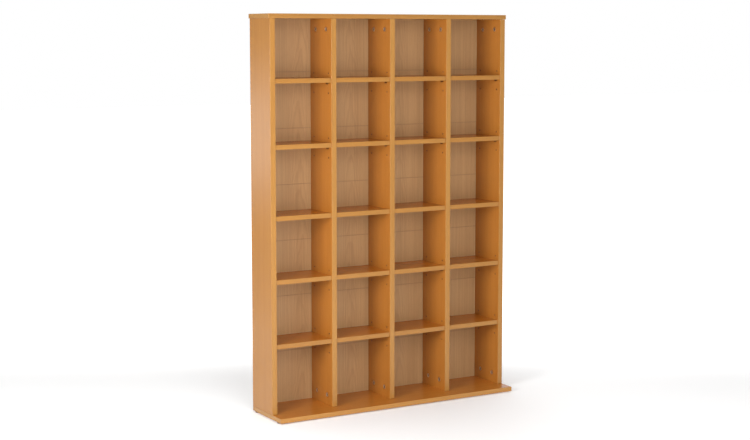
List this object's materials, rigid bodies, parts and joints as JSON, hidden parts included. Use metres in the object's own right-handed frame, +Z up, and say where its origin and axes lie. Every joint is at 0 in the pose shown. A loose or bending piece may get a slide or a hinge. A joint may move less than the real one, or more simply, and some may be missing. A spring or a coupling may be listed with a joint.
{
  "type": "media shelf",
  "caption": "Tall, shallow free-standing shelf for disc cases: bays split by dividers, small shelves on pins, a deeper base board and a folding hardboard back.",
  "frame": {"origin": "centre of the footprint on the floor: the middle of the whole shelf's box, at the underside of the glides", "axes": "+Z up, +Y from the open front to the back, +X to the right as seen from the front"},
  "size_m": [0.908, 0.2102, 1.3103],
  "materials": {
    "beech_board": "beech-effect foil on chipboard, satin, with straight fine grain along each board",
    "printed_hardboard": "wood-print hardboard, matt, grain upright",
    "zinc_fitting": "die-cast zinc, dull",
    "glide_plastic": "brown moulded plastic"
  },
  "bodies": {
    "carcass": {"top_board": "beech_board", "base_board": "beech_board", "side_panel_left": "beech_board", "divider_1": "beech_board", "divider_2": "beech_board", "divider_3": "beech_board", "side_panel_right": "beech_board", "fixed_shelf_bay1": "beech_board", "fixed_shelf_bay2": "beech_board", "fixed_shelf_bay3": "beech_board", "fixed_shelf_bay4": "beech_board", "back_leaf_1": "printed_hardboard", "back_leaf_2": "printed_hardboard", "back_leaf_3": "printed_hardboard", "back_leaf_4": "printed_hardboard", "back_leaf_5": "printed_hardboard", "back_leaf_6": "printed_hardboard", "back_leaf_7": "printed_hardboard", "cam_lock_side_panel_left_top_front": "zinc_fitting", "cam_lock_side_panel_left_top_rear": "zinc_fitting", "cam_lock_side_panel_left_bottom_front": "zinc_fitting", "cam_lock_side_panel_left_bottom_rear": "zinc_fitting", "cam_lock_divider_1_top_front": "zinc_fitting", "cam_lock_divider_1_top_rear": "zinc_fitting", "cam_lock_divider_1_bottom_front": "zinc_fitting", "cam_lock_divider_1_bottom_rear": "zinc_fitting", "cam_lock_divider_2_top_front": "zinc_fitting", "cam_lock_divider_2_top_rear": "zinc_fitting", "cam_lock_divider_2_bottom_front": "zinc_fitting", "cam_lock_divider_2_bottom_rear": "zinc_fitting", "cam_lock_divider_3_top_front": "zinc_fitting", "cam_lock_divider_3_top_rear": "zinc_fitting", "cam_lock_divider_3_bottom_front": "zinc_fitting", "cam_lock_divider_3_bottom_rear": "zinc_fitting", "cam_lock_side_panel_right_top_front": "zinc_fitting", "cam_lock_side_panel_right_top_rear": "zinc_fitting", "cam_lock_side_panel_right_bottom_front": "zinc_fitting", "cam_lock_side_panel_right_bottom_rear": "zinc_fitting", "glide_left_front": "glide_plastic", "glide_left_rear": "glide_plastic", "glide_middle_front": "glide_plastic", "glide_middle_rear": "glide_plastic", "glide_right_front": "glide_plastic", "glide_right_rear": "glide_plastic"},
    "shelf_row1_bay1": {"shelf_row1_bay1": "beech_board"},
    "shelf_row1_bay2": {"shelf_row1_bay2": "beech_board"},
    "shelf_row1_bay3": {"shelf_row1_bay3": "beech_board"},
    "shelf_row1_bay4": {"shelf_row1_bay4": "beech_board"},
    "shelf_row2_bay1": {"shelf_row2_bay1": "beech_board"},
    "shelf_row2_bay2": {"shelf_row2_bay2": "beech_board"},
    "shelf_row2_bay3": {"shelf_row2_bay3": "beech_board"},
    "shelf_row2_bay4": {"shelf_row2_bay4": "beech_board"},
    "shelf_row4_bay1": {"shelf_row4_bay1": "beech_board"},
    "shelf_row4_bay2": {"shelf_row4_bay2": "beech_board"},
    "shelf_row4_bay3": {"shelf_row4_bay3": "beech_board"},
    "shelf_row4_bay4": {"shelf_row4_bay4": "beech_board"},
    "shelf_row5_bay1": {"shelf_row5_bay1": "beech_board"},
    "shelf_row5_bay2": {"shelf_row5_bay2": "beech_board"},
    "shelf_row5_bay3": {"shelf_row5_bay3": "beech_board"},
    "shelf_row5_bay4": {"shelf_row5_bay4": "beech_board"}
  },
  "joints": [
    {"name": "shelf_row1_bay1_slide", "type": "slide", "parent": "carcass", "child": "shelf_row1_bay1", "axis": [0, -1, 0], "range_m": [0, 0.125]},
    {"name": "shelf_row1_bay2_slide", "type": "slide", "parent": "carcass", "child": "shelf_row1_bay2", "axis": [0, -1, 0], "range_m": [0, 0.125]},
    {"name": "shelf_row1_bay3_slide", "type": "slide", "parent": "carcass", "child": "shelf_row1_bay3", "axis": [0, -1, 0], "range_m": [0, 0.125]},
    {"name": "shelf_row1_bay4_slide", "type": "slide", "parent": "carcass", "child": "shelf_row1_bay4", "axis": [0, -1, 0], "range_m": [0, 0.125]},
    {"name": "shelf_row2_bay1_slide", "type": "slide", "parent": "carcass", "child": "shelf_row2_bay1", "axis": [0, -1, 0], "range_m": [0, 0.125]},
    {"name": "shelf_row2_bay2_slide", "type": "slide", "parent": "carcass", "child": "shelf_row2_bay2", "axis": [0, -1, 0], "range_m": [0, 0.125]},
    {"name": "shelf_row2_bay3_slide", "type": "slide", "parent": "carcass", "child": "shelf_row2_bay3", "axis": [0, -1, 0], "range_m": [0, 0.125]},
    {"name": "shelf_row2_bay4_slide", "type": "slide", "parent": "carcass", "child": "shelf_row2_bay4", "axis": [0, -1, 0], "range_m": [0, 0.125]},
    {"name": "shelf_row4_bay1_slide", "type": "slide", "parent": "carcass", "child": "shelf_row4_bay1", "axis": [0, -1, 0], "range_m": [0, 0.125]},
    {"name": "shelf_row4_bay2_slide", "type": "slide", "parent": "carcass", "child": "shelf_row4_bay2", "axis": [0, -1, 0], "range_m": [0, 0.125]},
    {"name": "shelf_row4_bay3_slide", "type": "slide", "parent": "carcass", "child": "shelf_row4_bay3", "axis": [0, -1, 0], "range_m": [0, 0.125]},
    {"name": "shelf_row4_bay4_slide", "type": "slide", "parent": "carcass", "child": "shelf_row4_bay4", "axis": [0, -1, 0], "range_m": [0, 0.125]},
    {"name": "shelf_row5_bay1_slide", "type": "slide", "parent": "carcass", "child": "shelf_row5_bay1", "axis": [0, -1, 0], "range_m": [0, 0.125]},
    {"name": "shelf_row5_bay2_slide", "type": "slide", "parent": "carcass", "child": "shelf_row5_bay2", "axis": [0, -1, 0], "range_m": [0, 0.125]},
    {"name": "shelf_row5_bay3_slide", "type": "slide", "parent": "carcass", "child": "shelf_row5_bay3", "axis": [0, -1, 0], "range_m": [0, 0.125]},
    {"name": "shelf_row5_bay4_slide", "type": "slide", "parent": "carcass", "child": "shelf_row5_bay4", "axis": [0, -1, 0], "range_m": [0, 0.125]}
  ]
}
